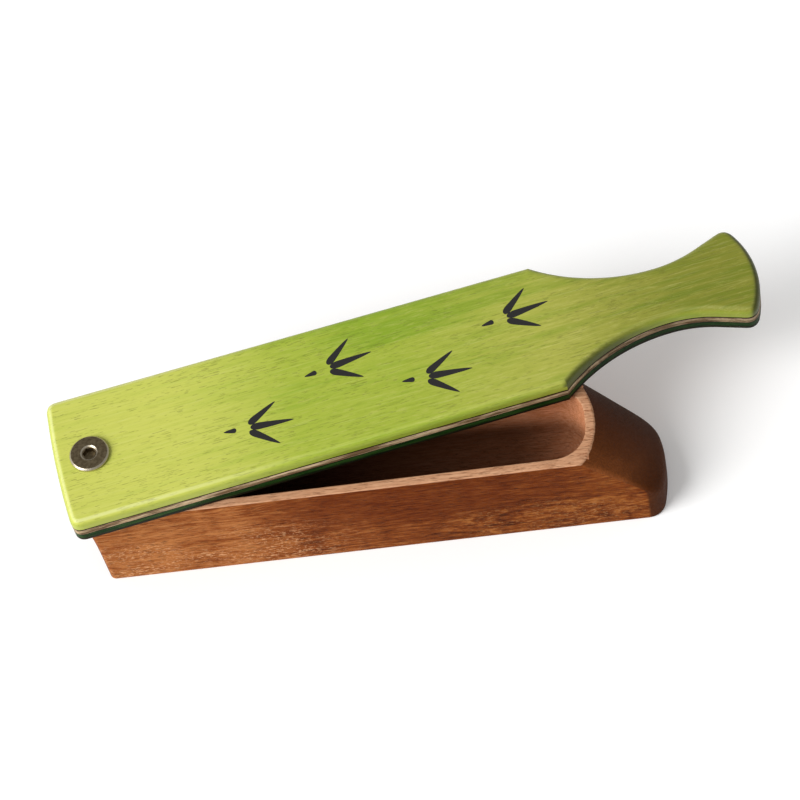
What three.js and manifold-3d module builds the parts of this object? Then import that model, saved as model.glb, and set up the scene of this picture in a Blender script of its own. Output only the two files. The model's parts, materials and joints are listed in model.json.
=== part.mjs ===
// Box turkey call: a one-piece wooden sound box and a laminated paddle lid that swings and
// tips on a single spring-loaded pivot bolt.
//
// Millimetres, +Z up. The origin is on the base, under the pivot axis. +X runs along the box
// from the pivot to the nose, and +Y is the side that the lid is swung towards.

import * as THREE from 'three';
import { mergeVertices } from 'three/addons/utils/BufferGeometryUtils.js';
import Module from 'manifold-3d';

const wasm = await Module();
wasm.setup();

// Sound box
const BOX_HEIGHT = 40.5;
const BOX_HALF_WIDTH = 19.5; // at the pivot axis
const BOX_TAPER = 0.0154; // half-width lost per millimetre of length
const NOSE_CENTRE_X = 139.5; // axis that the rim, the ramp and the nose are turned about
const NOSE_RADIUS = 51;
const NOSE_CORNER = 5;
const RIM_RADIUS = 29.2;
const RAMP_SLOPE = 1.3; // fall of the conical ramp per millimetre of radius
const RAMP_LEAN = 0.345; // shift of the cone's centre towards -Y per millimetre of depth
const TAIL_RADIUS = 50;
const TAIL_X = -7.4;
const TAIL_CORNER = 1.6;
const TAIL_FLARE = 2.4; // how far the tail stands out at its top edge
const TAIL_FLARE_START = 18; // height above which the tail flares
const BASE_ROUND = 0.6;

// Sound chamber
const CHAMBER_START_X = 28;
const CHAMBER_END_X = 165.6;
const CHAMBER_FLOOR = 5;
const CHAMBER_FLOOR_FILLET = 9;
const CHAMBER_CORNER = 11.3;
const CHAMBER_START_CORNER = 10;
const WALL_AT_PIVOT = 3.0;
const WALL_AT_NOSE = 3.4;

// Lid
const LID_YAW = THREE.MathUtils.degToRad(11.79);
const LID_GAP = 0.3; // clearance between the rails and the striking face
const LID_TAIL_X = -12.3;
const LID_TAIL_RADIUS = 320;
const LID_TAIL_CORNER = 3.8;
const LID_TAIL_HALF_WIDTH = 25.3;
const SHOULDER_X = 159.5;
const NECK_X = 199;
const NECK_HALF_WIDTH = 10.6;
const NECK_RADIUS = 62;
const FLARE_RADIUS = 44;
const FLARE_STRAIGHT_X = 215;
const HANDLE_END_X = 232.4;
const HANDLE_END_RADIUS = 33;
const HANDLE_CORNER = 3.8;
const LID_TOP_ROUND = 2.5;
const LID_BOTTOM_ROUND = 0.5;

// Plies of the lid, from the striking face up
const STRIKER_THICKNESS = 1.5;
const GREEN_THICKNESS = 2.3;
const TAN_THICKNESS = 1.2;
const GLUE_THICKNESS = 0.6;
const FACE_THICKNESS = 4.0;

// Pivot hardware
const SHANK_RADIUS = 3;
const LID_HOLE_RADIUS = 3.6;
const HEAD_RADIUS = 6.8;
const HEAD_THICKNESS = 1.1;
const HEAD_LIFT = 0.35; // underside of the head above the lid's top
const HEAD_CHAMFER = 0.55;
const SOCKET_ACROSS_FLATS = 4;
const SOCKET_DEPTH = 2.6;
const WASHER_RADIUS = 5.6;
const WASHER_THICKNESS = 0.5;
const RECESS_RADIUS = 6.2;
const RECESS_DEPTH = 0.5;
const SPRING_BORE_RADIUS = 5.0;
const SPRING_BORE_DEPTH = 15;
const SPRING_WIRE_RADIUS = 0.4;
const SPRING_MEAN_RADIUS = 4.1;
const SPRING_TURNS = 5.5;
const SEAT_THICKNESS = 0.8;
const THRUST_THICKNESS = 1.0;
const INSERT_RADIUS = 4.4;
const INSERT_LENGTH = 13;
const INSERT_BORE_RADIUS = 3.3;
const FIT_GAP = 0.3;

const FULL_TURN = 2 * Math.PI;
const RIGHT_ANGLE = Math.PI / 2;

const finishes = {
  mahogany: { color: 0x8f5430, roughness: 0.5, metalness: 0 },
  lime: { color: 0xa9b64a, roughness: 0.35, metalness: 0 },
  darkGlue: { color: 0x4a3a20, roughness: 0.5, metalness: 0 },
  tan: { color: 0xa58f66, roughness: 0.5, metalness: 0 },
  green: { color: 0x2a3f1d, roughness: 0.45, metalness: 0 },
  walnut: { color: 0x5a3d20, roughness: 0.6, metalness: 0 },
  bronze: { color: 0x6a6152, roughness: 0.35, metalness: 1 },
  steel: { color: 0x9a9a98, roughness: 0.35, metalness: 1 },
  spring: { color: 0x6f7072, roughness: 0.3, metalness: 1 },
  brass: { color: 0xb08d45, roughness: 0.35, metalness: 1 },
};

// ---- Solids ----

function toSolid(geometry) {
  const bare = geometry.clone();
  bare.deleteAttribute('normal');
  bare.deleteAttribute('uv');
  const merged = mergeVertices(bare, 1e-4);
  const vertProperties = new Float32Array(merged.attributes.position.array);
  const triVerts = new Uint32Array(merged.index.array);
  return new wasm.Manifold(new wasm.Mesh({ numProp: 3, vertProperties, triVerts }));
}

function toGeometry(solid) {
  const mesh = solid.getMesh();
  const geometry = new THREE.BufferGeometry();
  const positions = new Float32Array(mesh.vertProperties);
  geometry.setAttribute('position', new THREE.BufferAttribute(positions, 3));
  geometry.setIndex(new THREE.BufferAttribute(new Uint32Array(mesh.triVerts), 1));
  return geometry;
}

function cut(geometry, ...tools) {
  let solid = toSolid(geometry);
  for (const tool of tools) {
    solid = solid.subtract(toSolid(tool));
  }
  return toGeometry(solid);
}

// ---- Outlines, all counter-clockwise ----

function arcPoints(centre, radius, startAngle, endAngle, steps) {
  const points = [];
  for (let i = 0; i <= steps; i += 1) {
    const angle = startAngle + ((endAngle - startAngle) * i) / steps;
    const x = centre.x + radius * Math.cos(angle);
    const y = centre.y + radius * Math.sin(angle);
    points.push(new THREE.Vector2(x, y));
  }
  return points;
}

// A corner eased off over the given distance along both of its sides.
function easedCorner(before, corner, after, distance, steps) {
  const start = corner.clone().add(before.clone().sub(corner).setLength(distance));
  const end = corner.clone().add(after.clone().sub(corner).setLength(distance));
  return new THREE.QuadraticBezierCurve(start, corner, end).getPoints(steps);
}

// Where a line through a point, with a slope, meets a circle centred on the X axis.
function lineMeetsCircle(point, slope, centreX, radius, side) {
  const rise = point.y - slope * point.x;
  const a = 1 + slope * slope;
  const b = 2 * (slope * rise - centreX);
  const c = centreX * centreX + rise * rise - radius * radius;
  const x = (-b + side * Math.sqrt(b * b - 4 * a * c)) / (2 * a);
  return new THREE.Vector2(x, slope * x + rise);
}

// Closes a half outline, which runs on the +Y side from its front end to its back end.
function mirrored(half) {
  const other = half
    .filter((point) => Math.abs(point.y) > 1e-6)
    .map((point) => new THREE.Vector2(point.x, -point.y))
    .reverse();
  return half.concat(other);
}

// The outline moved inwards by the same distance on every side.
function inset(outline, distance) {
  const count = outline.length;
  return outline.map((point, i) => {
    const into = point.clone().sub(outline[(i + count - 1) % count]).normalize();
    const out = outline[(i + 1) % count].clone().sub(point).normalize();
    const normalA = new THREE.Vector2(into.y, -into.x);
    const normalB = new THREE.Vector2(out.y, -out.x);
    const miter = normalA.clone().add(normalB).divideScalar(1 + normalA.dot(normalB));
    return point.clone().addScaledVector(miter, -distance);
  });
}

// A closed solid through a stack of levels, each the outline inset by its own distance.
function stacked(outline, levels) {
  const positions = [];
  const indices = [];
  const count = outline.length;
  for (const level of levels) {
    for (const point of inset(outline, level.inset)) {
      positions.push(point.x, point.y, level.z);
    }
  }
  for (let k = 0; k + 1 < levels.length; k += 1) {
    for (let i = 0; i < count; i += 1) {
      const a = k * count + i;
      const b = k * count + ((i + 1) % count);
      indices.push(a, b, b + count, a, b + count, a + count);
    }
  }
  const top = (levels.length - 1) * count;
  for (const [a, b, c] of THREE.ShapeUtils.triangulateShape(outline, [])) {
    indices.push(c, b, a);
    indices.push(top + a, top + b, top + c);
  }
  const geometry = new THREE.BufferGeometry();
  geometry.setAttribute('position', new THREE.Float32BufferAttribute(positions, 3));
  geometry.setIndex(indices);
  return geometry;
}

// Levels of a quarter-round edge: steps from the inset end to the full outline.
function roundedEdge(radius, edgeZ, direction, steps) {
  const levels = [];
  for (let i = 0; i <= steps; i += 1) {
    const angle = (RIGHT_ANGLE * i) / steps;
    const z = edgeZ + direction * radius * (1 - Math.cos(angle));
    levels.push({ inset: radius * (1 - Math.sin(angle)), z });
  }
  return levels;
}

// A body turned about Z through the pivot axis, from a profile of [radius, height] pairs.
function turned(profile, segments) {
  const points = profile.map(([radius, z]) => new THREE.Vector2(radius, z));
  return new THREE.LatheGeometry(points, segments).rotateX(RIGHT_ANGLE);
}

function pin(radius, bottom, top, segments) {
  return turned([[0, bottom], [radius, bottom], [radius, top], [0, top]], segments);
}

function washer(outer, inner, bottom, top, segments) {
  return turned([[inner, bottom], [outer, bottom], [outer, top], [inner, top], [inner, bottom]], segments);
}

function piece(name, geometry, finish) {
  const mesh = new THREE.Mesh(geometry, new THREE.MeshStandardMaterial(finish));
  mesh.name = name;
  return mesh;
}

// ---- Sound box ----

function boxHalfWidth(x) {
  return BOX_HALF_WIDTH - BOX_TAPER * x;
}

function boxOutline() {
  const side = new THREE.Vector2(0, BOX_HALF_WIDTH);
  const noseCorner = lineMeetsCircle(side, -BOX_TAPER, NOSE_CENTRE_X, NOSE_RADIUS, 1);
  const tailCentreX = TAIL_X + TAIL_RADIUS;
  const tailCorner = lineMeetsCircle(side, -BOX_TAPER, tailCentreX, TAIL_RADIUS, -1);
  const noseAngle = Math.asin(noseCorner.y / NOSE_RADIUS) - NOSE_CORNER / NOSE_RADIUS;
  const tailAngle = Math.asin(tailCorner.y / TAIL_RADIUS) - TAIL_CORNER / TAIL_RADIUS;
  const noseCentre = new THREE.Vector2(NOSE_CENTRE_X, 0);
  const tailCentre = new THREE.Vector2(tailCentreX, 0);
  const nose = arcPoints(noseCentre, NOSE_RADIUS, 0, noseAngle, 6);
  const tail = arcPoints(tailCentre, TAIL_RADIUS, Math.PI - tailAngle, Math.PI, 4);
  const noseEase = easedCorner(nose.at(-1), noseCorner, side, NOSE_CORNER, 6);
  const tailEase = easedCorner(side, tailCorner, tail[0], TAIL_CORNER, 3);
  return mirrored([...nose.slice(0, -1), ...noseEase, ...tailEase, ...tail.slice(1)]);
}

function chamberOutline() {
  const cornerCentre = new THREE.Vector2(CHAMBER_END_X - CHAMBER_CORNER, 0);
  cornerCentre.y = boxHalfWidth(cornerCentre.x) - WALL_AT_NOSE - CHAMBER_CORNER;
  const end = arcPoints(cornerCentre, CHAMBER_CORNER, 0, RIGHT_ANGLE, 8);
  const startCentre = new THREE.Vector2(CHAMBER_START_X + CHAMBER_START_CORNER, 0);
  startCentre.y = boxHalfWidth(startCentre.x) - WALL_AT_PIVOT - CHAMBER_START_CORNER;
  const start = arcPoints(startCentre, CHAMBER_START_CORNER, RIGHT_ANGLE, Math.PI, 6);
  return mirrored([...end, ...start]);
}

// The part of a ring about the nose axis that lies beyond the rim: it leaves a conical ramp,
// which is deeper on the +Y side because the cone leans.
function rampCutter() {
  const above = BOX_HEIGHT + 2;
  const beyond = NOSE_RADIUS + 12;
  const profile = [
    [RIM_RADIUS, BOX_HEIGHT],
    [beyond, BOX_HEIGHT - RAMP_SLOPE * (beyond - RIM_RADIUS)],
    [beyond, above],
    [RIM_RADIUS, above],
    [RIM_RADIUS, BOX_HEIGHT],
  ];
  const lean = new THREE.Matrix4();
  lean.set(1, 0, 0, 0, 0, 1, RAMP_LEAN, -RAMP_LEAN * BOX_HEIGHT, 0, 0, 1, 0, 0, 0, 0, 1);
  const ring = turned(profile, 96).applyMatrix4(lean).translate(NOSE_CENTRE_X, 0, 0);
  const keep = new THREE.BoxGeometry(80, 120, 200).translate(NOSE_CENTRE_X + 52, 0, 0);
  return toGeometry(toSolid(ring).intersect(toSolid(keep)));
}

// The tail end stands out towards its top edge.
function flareTail(geometry) {
  const position = geometry.attributes.position;
  for (let i = 0; i < position.count; i += 1) {
    const share = Math.min(1, Math.max(0, position.getX(i) / TAIL_X));
    const rise = Math.max(0, position.getZ(i) - TAIL_FLARE_START) / (BOX_HEIGHT - TAIL_FLARE_START);
    position.setX(i, position.getX(i) - TAIL_FLARE * share * rise ** 1.5);
  }
  return geometry;
}

function soundBox() {
  const flareLevels = [0, 0.35, 0.65, 1].map((share) => {
    const z = TAIL_FLARE_START + share * (BOX_HEIGHT - TAIL_FLARE_START);
    return { inset: 0, z };
  });
  const levels = [...roundedEdge(BASE_ROUND, 0, 1, 3), ...flareLevels];
  const body = flareTail(stacked(boxOutline(), levels));
  const chamber = stacked(chamberOutline(), [
    ...roundedEdge(CHAMBER_FLOOR_FILLET, CHAMBER_FLOOR, 1, 5),
    { inset: 0, z: BOX_HEIGHT + 1 },
  ]);
  const springBore = pin(SPRING_BORE_RADIUS, BOX_HEIGHT - SPRING_BORE_DEPTH, BOX_HEIGHT + 1, 32);
  const insertTop = BOX_HEIGHT - SPRING_BORE_DEPTH + 1;
  const insertHole = pin(INSERT_RADIUS + FIT_GAP, insertBottom() - FIT_GAP, insertTop, 32);
  return cut(body, rampCutter(), chamber, springBore, insertHole);
}

// ---- Lid ----

function lidOutline() {
  const neckY = NECK_HALF_WIDTH + NECK_RADIUS;
  const neckCentre = new THREE.Vector2(NECK_X, neckY);
  const flareCentre = new THREE.Vector2(NECK_X, NECK_HALF_WIDTH + FLARE_RADIUS);
  const endCentre = new THREE.Vector2(HANDLE_END_X - HANDLE_END_RADIUS, 0);
  const flareAngle = Math.asin((FLARE_STRAIGHT_X - NECK_X) / FLARE_RADIUS);
  const shoulderAngle = Math.asin((NECK_X - SHOULDER_X) / NECK_RADIUS);
  const flare = arcPoints(flareCentre, FLARE_RADIUS, -RIGHT_ANGLE + flareAngle, -RIGHT_ANGLE, 5);
  const neck = arcPoints(neckCentre, NECK_RADIUS, -RIGHT_ANGLE, -RIGHT_ANGLE - shoulderAngle, 9);
  const slope = Math.tan(flareAngle);
  const corner = lineMeetsCircle(flare[0], slope, endCentre.x, HANDLE_END_RADIUS, 1);
  const endAngle = Math.asin(corner.y / HANDLE_END_RADIUS) - HANDLE_CORNER / HANDLE_END_RADIUS;
  const end = arcPoints(endCentre, HANDLE_END_RADIUS, 0, endAngle, 7);
  const handleEase = easedCorner(end.at(-1), corner, flare[0], HANDLE_CORNER, 4);
  const shoulder = neck.at(-1);
  const tailCentre = new THREE.Vector2(LID_TAIL_X + LID_TAIL_RADIUS, 0);
  const sideSlope = (shoulder.y - LID_TAIL_HALF_WIDTH) / (shoulder.x - LID_TAIL_X);
  const tailCorner = lineMeetsCircle(shoulder, sideSlope, tailCentre.x, LID_TAIL_RADIUS, -1);
  const tailAngle = Math.asin((tailCorner.y - LID_TAIL_CORNER) / LID_TAIL_RADIUS);
  const tail = arcPoints(tailCentre, LID_TAIL_RADIUS, Math.PI - tailAngle, Math.PI, 2);
  const tailEase = easedCorner(shoulder, tailCorner, tail[0], LID_TAIL_CORNER, 4);
  return mirrored([
    ...end.slice(0, -1),
    ...handleEase,
    ...flare,
    ...neck.slice(1),
    ...tailEase,
    ...tail.slice(1),
  ]);
}

// One ply with the pivot hole through it. Its levels run from its bottom to its top.
function ply(levels) {
  const hole = pin(LID_HOLE_RADIUS, levels[0].z - 1, levels.at(-1).z + 1, 32);
  return cut(stacked(lidOutline(), levels), hole);
}

function flatPly(bottom, thickness) {
  return ply([{ inset: 0, z: bottom }, { inset: 0, z: bottom + thickness }]);
}

function strikerPly(bottom) {
  const top = bottom + STRIKER_THICKNESS;
  return ply([...roundedEdge(LID_BOTTOM_ROUND, bottom, 1, 2), { inset: 0, z: top }]);
}

function facePly(bottom) {
  const top = bottom + FACE_THICKNESS;
  const rounded = roundedEdge(LID_TOP_ROUND, top, -1, 4).reverse();
  const recess = pin(RECESS_RADIUS, top - RECESS_DEPTH, top + 1, 32);
  return cut(ply([{ inset: 0, z: bottom }, ...rounded]), recess);
}

function lid() {
  const greenZ = STRIKER_THICKNESS;
  const lowerTanZ = greenZ + GREEN_THICKNESS;
  const upperTanZ = lowerTanZ + TAN_THICKNESS;
  const glueZ = upperTanZ + TAN_THICKNESS;
  const faceZ = glueZ + GLUE_THICKNESS;
  const group = new THREE.Group();
  group.add(
    piece('lid_striker_ply', strikerPly(0), finishes.walnut),
    piece('lid_green_ply', flatPly(greenZ, GREEN_THICKNESS), finishes.green),
    piece('lid_tan_ply_lower', flatPly(lowerTanZ, TAN_THICKNESS), finishes.tan),
    piece('lid_tan_ply_upper', flatPly(upperTanZ, TAN_THICKNESS), finishes.tan),
    piece('lid_glue_line', flatPly(glueZ, GLUE_THICKNESS), finishes.darkGlue),
    piece('lid_face_ply', facePly(faceZ), finishes.lime),
  );
  group.position.z = BOX_HEIGHT + LID_GAP;
  group.rotation.z = LID_YAW;
  return group;
}

function lidTop() {
  const plies = STRIKER_THICKNESS + GREEN_THICKNESS + 2 * TAN_THICKNESS + GLUE_THICKNESS;
  return BOX_HEIGHT + LID_GAP + plies + FACE_THICKNESS;
}

// ---- Pivot hardware, all turned about the pivot axis ----

function insertBottom() {
  return BOX_HEIGHT - SPRING_BORE_DEPTH - INSERT_LENGTH;
}

function pivotBolt() {
  const headBottom = lidTop() + HEAD_LIFT;
  const headTop = headBottom + HEAD_THICKNESS;
  const tip = insertBottom() + 2;
  const sinkRadius = 2.85;
  const sinkDepth = 0.45;
  const socketRadius = SOCKET_ACROSS_FLATS / Math.sqrt(3);
  const body = turned([
    [0, tip],
    [SHANK_RADIUS - 0.6, tip],
    [SHANK_RADIUS, tip + 0.6],
    [SHANK_RADIUS, headBottom],
    [HEAD_RADIUS - 0.2, headBottom],
    [HEAD_RADIUS, headBottom + 0.2],
    [HEAD_RADIUS, headTop - HEAD_CHAMFER],
    [HEAD_RADIUS - HEAD_CHAMFER, headTop],
    [sinkRadius, headTop],
    [socketRadius + 0.1, headTop - sinkDepth],
    [0, headTop - sinkDepth],
  ], 48);
  const socket = pin(socketRadius, headTop - SOCKET_DEPTH, headTop + 1, 6);
  return cut(body, socket);
}

function headWasher() {
  const top = lidTop() + HEAD_LIFT;
  return washer(WASHER_RADIUS, SHANK_RADIUS + FIT_GAP, top - WASHER_THICKNESS, top, 32);
}

function thrustWasher() {
  const top = BOX_HEIGHT;
  const outer = SPRING_BORE_RADIUS - FIT_GAP;
  return washer(outer, SHANK_RADIUS + FIT_GAP, top - THRUST_THICKNESS, top, 32);
}

function springSeat() {
  const bottom = BOX_HEIGHT - SPRING_BORE_DEPTH;
  const outer = SPRING_BORE_RADIUS - FIT_GAP;
  return washer(outer, SHANK_RADIUS + FIT_GAP, bottom, bottom + SEAT_THICKNESS, 32);
}

class Coil extends THREE.Curve {
  constructor(radius, turns, bottom, top) {
    super();
    Object.assign(this, { radius, turns, bottom, top });
  }

  getPoint(t, target = new THREE.Vector3()) {
    const angle = FULL_TURN * this.turns * t;
    const z = this.bottom + (this.top - this.bottom) * t;
    return target.set(this.radius * Math.cos(angle), this.radius * Math.sin(angle), z);
  }
}

function pivotSpring() {
  const clear = SPRING_WIRE_RADIUS + 0.1;
  const bottom = BOX_HEIGHT - SPRING_BORE_DEPTH + SEAT_THICKNESS + clear;
  const top = BOX_HEIGHT - THRUST_THICKNESS - clear;
  const wire = arcPoints(new THREE.Vector2(), SPRING_WIRE_RADIUS, 0, FULL_TURN, 8);
  const section = new THREE.Shape(wire.slice(0, -1));
  const extrudePath = new Coil(SPRING_MEAN_RADIUS, SPRING_TURNS, bottom, top);
  return new THREE.ExtrudeGeometry(section, { steps: 80, bevelEnabled: false, extrudePath });
}

function threadedInsert() {
  const bottom = insertBottom();
  const top = BOX_HEIGHT - SPRING_BORE_DEPTH;
  const groove = 0.5;
  const bands = 3;
  const pitch = (top - bottom) / (2 * bands + 1);
  const outside = [];
  for (let i = 0; i <= 2 * bands; i += 1) {
    const radius = i % 2 === 0 ? INSERT_RADIUS : INSERT_RADIUS - groove;
    outside.push([radius, bottom + pitch * i], [radius, bottom + pitch * (i + 1)]);
  }
  const start = [INSERT_BORE_RADIUS, bottom];
  return turned([start, ...outside, [INSERT_BORE_RADIUS, top], start], 32);
}

// ---- The call ----

const boxCall = new THREE.Group();
boxCall.add(
  piece('sound_box', soundBox(), finishes.mahogany),
  piece('threaded_insert', threadedInsert(), finishes.brass),
  piece('spring_seat', springSeat(), finishes.steel),
  piece('pivot_spring', pivotSpring(), finishes.spring),
  piece('thrust_washer', thrustWasher(), finishes.steel),
  lid(),
  piece('head_washer', headWasher(), finishes.steel),
  piece('pivot_bolt', pivotBolt(), finishes.bronze),
);

export default boxCall;
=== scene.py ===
"""Looks of a box turkey call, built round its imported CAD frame.

Metres, +Z up, +X along the box from the pivot to the nose, +Y the side that the lid is swung to.
Every CAD solid is faceted, so each one gets a finer piece of the same shape and size.
"""

import json
import math
from functools import partial, reduce

import bmesh
import bpy
from mathutils import Matrix, Vector


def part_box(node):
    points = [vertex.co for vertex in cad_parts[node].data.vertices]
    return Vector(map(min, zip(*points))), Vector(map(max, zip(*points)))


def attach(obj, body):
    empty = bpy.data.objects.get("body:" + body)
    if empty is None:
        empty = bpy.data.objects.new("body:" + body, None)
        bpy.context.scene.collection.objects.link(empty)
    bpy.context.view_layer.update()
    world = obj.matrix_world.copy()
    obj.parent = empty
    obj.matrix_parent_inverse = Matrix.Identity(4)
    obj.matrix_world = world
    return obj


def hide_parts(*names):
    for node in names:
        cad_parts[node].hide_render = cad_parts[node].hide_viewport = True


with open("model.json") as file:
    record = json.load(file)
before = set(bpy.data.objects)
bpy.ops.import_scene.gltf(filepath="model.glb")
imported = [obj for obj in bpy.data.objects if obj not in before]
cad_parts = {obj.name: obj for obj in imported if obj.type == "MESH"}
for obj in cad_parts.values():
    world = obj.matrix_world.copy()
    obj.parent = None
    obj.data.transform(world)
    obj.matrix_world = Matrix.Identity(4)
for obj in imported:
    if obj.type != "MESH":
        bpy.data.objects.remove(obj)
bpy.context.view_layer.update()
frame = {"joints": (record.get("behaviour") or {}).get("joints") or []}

MM = 0.001
FULL_TURN = 2 * math.pi
RIGHT_ANGLE = math.pi / 2
UP = Vector((0, 0, 1))

# ---- Places taken from the frame ----

box_low, box_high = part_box("sound_box")
joints = {joint["name"]: joint for joint in frame["joints"]}
lift_axis = joints["lid_lift"]["axis"]
LID_YAW = math.atan2(lift_axis[0], -lift_axis[1])
LID_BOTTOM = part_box("lid_striker_ply")[0].z

# ---- Sound box ----

BOX_HALF_WIDTH = 19.5 * MM  # at the pivot axis
BOX_TAPER = 0.0154  # half-width lost per unit of length
NOSE_RADIUS = 51 * MM
NOSE_X = box_high.x - NOSE_RADIUS  # axis that the rim, the ramp and the nose are turned about
NOSE_CORNER = 5 * MM
RIM_RADIUS = 29.2 * MM
RAMP_SLOPE = 1.3  # fall of the conical ramp per unit of radius
RAMP_LEAN = 0.345  # shift of the cone's centre towards -Y per unit of depth
RIDGE_EASE = 2.6 * MM  # softness of the ridge between the ramp and the walls
EDGE_EASE = 0.55 * MM  # sanded edges of the rim
TAIL_RADIUS = 50 * MM
TAIL_FLARE = 2.4 * MM  # how far the tail stands out at its top edge
TAIL_FLARE_START = 18 * MM  # height above which the tail flares
TAIL_X = box_low.x + TAIL_FLARE
TAIL_CORNER = 1.6 * MM
BASE_ROUND = 0.6 * MM

CHAMBER_START_X = 28 * MM
CHAMBER_END_X = 165.6 * MM
CHAMBER_FLOOR = 5 * MM
FLOOR_FILLET = 9 * MM
CHAMBER_CORNER = 11.3 * MM
CHAMBER_START_CORNER = 10 * MM
WALL_AT_PIVOT = 3.0 * MM
WALL_AT_NOSE = 3.4 * MM

# ---- Lid ----

LID_TAIL_X = -12.3 * MM
LID_TAIL_RADIUS = 320 * MM
LID_TAIL_CORNER = 3.8 * MM
LID_TAIL_HALF_WIDTH = 25.3 * MM
SHOULDER_X = 159.5 * MM
NECK_X = 199 * MM
NECK_HALF_WIDTH = 10.6 * MM
NECK_RADIUS = 62 * MM
FLARE_RADIUS = 44 * MM
FLARE_STRAIGHT_X = 215 * MM
HANDLE_END_X = 232.4 * MM
HANDLE_END_RADIUS = 33 * MM
HANDLE_CORNER = 3.8 * MM
LID_TOP_ROUND = 2.5 * MM
LID_BOTTOM_ROUND = 0.5 * MM
LID_HOLE_RADIUS = 3.6 * MM
RECESS_RADIUS = 6.2 * MM
RECESS_DEPTH = 0.5 * MM

# ---- Pivot hardware ----

SHANK_RADIUS = 3 * MM
HEAD_RADIUS = 6.8 * MM
HEAD_CHAMFER = 0.55 * MM
SINK_RADIUS = 2.85 * MM
SINK_DEPTH = 0.45 * MM
SOCKET_ACROSS_FLATS = 4 * MM
SOCKET_DEPTH = 2.6 * MM
SPRING_BORE_RADIUS = 5.0 * MM
SPRING_WIRE_RADIUS = 0.4 * MM
SPRING_MEAN_RADIUS = 4.1 * MM
SPRING_TURNS = 5.5
INSERT_RADIUS = 4.4 * MM
INSERT_BORE_RADIUS = 3.3 * MM
THREAD_PITCH = 1 * MM
THREAD_DEPTH = 0.3 * MM
BOLT_TIP = 0.6 * MM
FIT_GAP = 0.3 * MM
HEAD_EASE = 0.12 * MM
WASHER_EASE = 0.1 * MM
INSERT_PITCH = 2.2 * MM
INSERT_THREAD_DEPTH = 0.7 * MM

# ---- Fineness of the meshes ----

ARC_STEP = 0.9 * MM
SIDE_STEP = 2.0 * MM
EASE_STEPS = 10
ROUND_STEPS = 7
FILLET_STEPS = 12
SMALL_EASE_STEPS = 4
TURN_STEPS = 96
WIRE_STEPS = 14
SPRING_STEPS = 30  # for each turn
THREAD_STEPS = 8  # for each turn
FEWEST_ARC_STEPS = 3
GATHER_PASSES = 40
HALVINGS = 40
MERGE_DISTANCE = 1e-7
NEARLY_PARALLEL = 1e-12
NO_LENGTH = 1e-9
LONGEST_EASE = 0.45  # in shares of the ramp
SLACK = 1e-6  # in shares of a length
OUTSIDE_RINGS, RAMP_RINGS, RIM_RINGS, INSIDE_RINGS = 9, 8, 2, 5  # up the stretches of the wall
BEND_SHARES = [-1, -0.6, -0.2, 0.2, 0.6, 1]  # rings round a sanded edge
SMOOTHING_SHARES = [-1 + i / 5 for i in range(11)]  # places averaged for each ring
END_SUPPORT = 0.4 * MM  # of an extra ring just inside each flat end
INSERT_RINGS = 60
SHARP_ANGLE = math.radians(38)  # above which an edge is shaded hard


# ======== Outlines, counter-clockwise ========


def arc(centre, radius, start, end, step=ARC_STEP):
    count = max(FEWEST_ARC_STEPS, math.ceil(abs(end - start) * radius / step))
    angles = [start + (end - start) * i / count for i in range(count + 1)]
    return [centre + radius * Vector((math.cos(a), math.sin(a))) for a in angles]


def straight(start, end):
    count = max(1, math.ceil((end - start).length / SIDE_STEP))
    return [start.lerp(end, i / count) for i in range(count + 1)]


def bezier(start, middle, end, steps):
    shares = [i / steps for i in range(steps + 1)]
    return [start.lerp(middle, t).lerp(middle.lerp(end, t), t) for t in shares]


def eased_corner(before, corner, after, distance, steps=EASE_STEPS):
    start = corner + (before - corner).normalized() * distance
    end = corner + (after - corner).normalized() * distance
    return bezier(start, corner, end, steps)


def line_meets_circle(point, slope, centre_x, radius, side):
    rise = point.y - slope * point.x
    a = 1 + slope * slope
    b = 2 * (slope * rise - centre_x)
    c = centre_x * centre_x + rise * rise - radius * radius
    x = (-b + side * math.sqrt(b * b - 4 * a * c)) / (2 * a)
    return Vector((x, slope * x + rise))


def mirrored(half):
    """The whole outline, from its +Y half that starts and ends on the X axis."""
    return half + [Vector((p.x, -p.y)) for p in reversed(half[1:-1])]


def inset(outline, distance):
    """The outline moved inwards by the same distance on every side. Where a corner is tighter than
    the distance, its points gather in one place instead of crossing over."""
    moved = []
    for i, point in enumerate(outline):
        into = (point - outline[i - 1]).normalized()
        out = (outline[(i + 1) % len(outline)] - point).normalized()
        normals = Vector((into.y, -into.x)), Vector((out.y, -out.x))
        miter = (normals[0] + normals[1]) / (1 + normals[0].dot(normals[1]))
        moved.append(point - miter * distance)
    for _ in range(GATHER_PASSES):
        for i, point in enumerate(outline):
            if (moved[i] - moved[i - 1]).dot(point - outline[i - 1]) < 0:
                moved[i] = moved[i - 1] = (moved[i] + moved[i - 1]) / 2
    return moved


def at_height(point, z):
    return Vector((point.x, point.y, z))


def lifted(outline, z):
    return [at_height(point, z) for point in outline]


def rounded_edge(radius, edge_z, direction, steps=ROUND_STEPS):
    """(inset, z) of a quarter-round edge, from its inset end to the full outline."""
    angles = [RIGHT_ANGLE * i / steps for i in range(steps + 1)]
    insets = [radius * (1 - math.sin(a)) for a in angles]
    heights = [edge_z + direction * radius * (1 - math.cos(a)) for a in angles]
    return list(zip(insets, heights))


# ======== Meshes ========


def loft(bm, loops):
    """Rings of faces between closed loops that have equally many points. Returns the end loops."""
    rings = [[bm.verts.new(point) for point in loop] for loop in loops]
    for lower, upper in zip(rings, rings[1:]):
        for i in range(len(lower)):
            j = (i + 1) % len(lower)
            bm.faces.new((lower[i], lower[j], upper[j], upper[i]))
    return rings[0], rings[-1]


def solid(loops):
    """A closed body through loops, with flat ends."""
    bm = bmesh.new()
    for ring in loft(bm, loops):
        bm.faces.new(ring)
    return bm


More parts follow.
